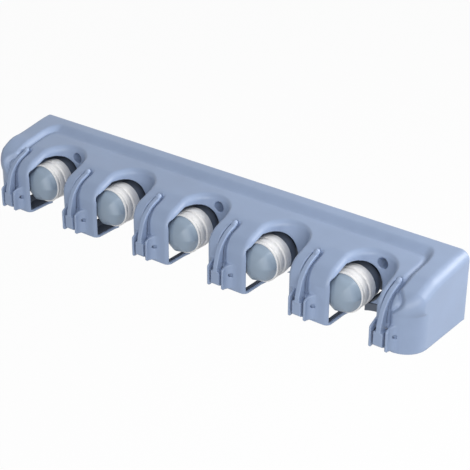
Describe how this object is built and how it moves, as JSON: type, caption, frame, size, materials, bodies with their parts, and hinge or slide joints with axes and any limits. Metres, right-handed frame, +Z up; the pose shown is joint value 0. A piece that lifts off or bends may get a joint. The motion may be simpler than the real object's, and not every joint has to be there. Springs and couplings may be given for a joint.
{
  "type": "wall mop holder rack",
  "caption": "Wall-mounted utility rack with open handle notches, rubber-ringed gripping rollers that climb slanted tracks, and fold-down hooks in forked ears.",
  "frame": {"origin": "centre of the middle wall-screw hole, on the wall plane at the rack's back", "axes": "+X to the right seen from the front, -Y towards the front, +Z up"},
  "size_m": [0.4158, 0.0787, 0.0566],
  "materials": {
    "housing_plastic": "satin",
    "hook_plastic": "satin",
    "cap_plastic": "satin",
    "grip_rubber": "matte",
    "drum_plastic": "matte",
    "plate_plastic": "matte",
    "screw_steel": "zinc plated",
    "pin_steel": "satin",
    "spindle_steel": "satin"
  },
  "bodies": {
    "rack": {"housing": "housing_plastic", "back_plate": "plate_plastic", "plate_screws": "screw_steel", "hook_pin_1": "pin_steel", "hook_pin_2": "pin_steel", "hook_pin_3": "pin_steel", "hook_pin_4": "pin_steel", "hook_pin_5": "pin_steel", "hook_pin_6": "pin_steel"},
    "hook_arm_1": {"hook_1": "hook_plastic"},
    "hook_arm_2": {"hook_2": "hook_plastic"},
    "hook_arm_3": {"hook_3": "hook_plastic"},
    "hook_arm_4": {"hook_4": "hook_plastic"},
    "hook_arm_5": {"hook_5": "hook_plastic"},
    "hook_arm_6": {"hook_6": "hook_plastic"},
    "spindle_1": {"roller_spindle_1": "spindle_steel"},
    "roller_1": {"roller_cap_1": "cap_plastic", "roller_grip_1": "grip_rubber", "roller_drum_1": "drum_plastic"},
    "spindle_2": {"roller_spindle_2": "spindle_steel"},
    "roller_2": {"roller_cap_2": "cap_plastic", "roller_grip_2": "grip_rubber", "roller_drum_2": "drum_plastic"},
    "spindle_3": {"roller_spindle_3": "spindle_steel"},
    "roller_3": {"roller_cap_3": "cap_plastic", "roller_grip_3": "grip_rubber", "roller_drum_3": "drum_plastic"},
    "spindle_4": {"roller_spindle_4": "spindle_steel"},
    "roller_4": {"roller_cap_4": "cap_plastic", "roller_grip_4": "grip_rubber", "roller_drum_4": "drum_plastic"},
    "spindle_5": {"roller_spindle_5": "spindle_steel"},
    "roller_5": {"roller_cap_5": "cap_plastic", "roller_grip_5": "grip_rubber", "roller_drum_5": "drum_plastic"}
  },
  "joints": [
    {"name": "hook_fold_1", "type": "hinge", "parent": "rack", "child": "hook_arm_1", "pos_m": [-0.187, -0.0713, -0.0289], "axis": [1, 0, 0], "range_deg": [0, 90]},
    {"name": "hook_fold_2", "type": "hinge", "parent": "rack", "child": "hook_arm_2", "pos_m": [-0.1175, -0.0713, -0.0289], "axis": [1, 0, 0], "range_deg": [0, 90]},
    {"name": "hook_fold_3", "type": "hinge", "parent": "rack", "child": "hook_arm_3", "pos_m": [-0.0425, -0.0713, -0.0289], "axis": [1, 0, 0], "range_deg": [0, 90]},
    {"name": "hook_fold_4", "type": "hinge", "parent": "rack", "child": "hook_arm_4", "pos_m": [0.0325, -0.0713, -0.0289], "axis": [1, 0, 0], "range_deg": [0, 90]},
    {"name": "hook_fold_5", "type": "hinge", "parent": "rack", "child": "hook_arm_5", "pos_m": [0.1075, -0.0713, -0.0289], "axis": [1, 0, 0], "range_deg": [0, 90]},
    {"name": "hook_fold_6", "type": "hinge", "parent": "rack", "child": "hook_arm_6", "pos_m": [0.1769, -0.0713, -0.0289], "axis": [1, 0, 0], "range_deg": [0, 90]},
    {"name": "roller_climb_1", "type": "slide", "parent": "rack", "child": "spindle_1", "axis": [-0.9659, 0, 0.2588], "range_m": [0, 0.0105]},
    {"name": "roller_spin_1", "type": "hinge", "parent": "spindle_1", "child": "roller_1", "pos_m": [-0.1671, -0.0459, -0.0195], "axis": [0, 1, 0], "continuous": true},
    {"name": "roller_climb_2", "type": "slide", "parent": "rack", "child": "spindle_2", "axis": [-0.9659, 0, 0.2588], "range_m": [0, 0.0105]},
    {"name": "roller_spin_2", "type": "hinge", "parent": "spindle_2", "child": "roller_2", "pos_m": [-0.0921, -0.0459, -0.0195], "axis": [0, 1, 0], "continuous": true},
    {"name": "roller_climb_3", "type": "slide", "parent": "rack", "child": "spindle_3", "axis": [-0.9659, 0, 0.2588], "range_m": [0, 0.0105]},
    {"name": "roller_spin_3", "type": "hinge", "parent": "spindle_3", "child": "roller_3", "pos_m": [-0.0171, -0.0459, -0.0195], "axis": [0, 1, 0], "continuous": true},
    {"name": "roller_climb_4", "type": "slide", "parent": "rack", "child": "spindle_4", "axis": [-0.9659, 0, 0.2588], "range_m": [0, 0.0105]},
    {"name": "roller_spin_4", "type": "hinge", "parent": "spindle_4", "child": "roller_4", "pos_m": [0.0579, -0.0459, -0.0195], "axis": [0, 1, 0], "continuous": true},
    {"name": "roller_climb_5", "type": "slide", "parent": "rack", "child": "spindle_5", "axis": [-0.9659, 0, 0.2588], "range_m": [0, 0.0105]},
    {"name": "roller_spin_5", "type": "hinge", "parent": "spindle_5", "child": "roller_5", "pos_m": [0.1329, -0.0459, -0.0195], "axis": [0, 1, 0], "continuous": true}
  ]
}
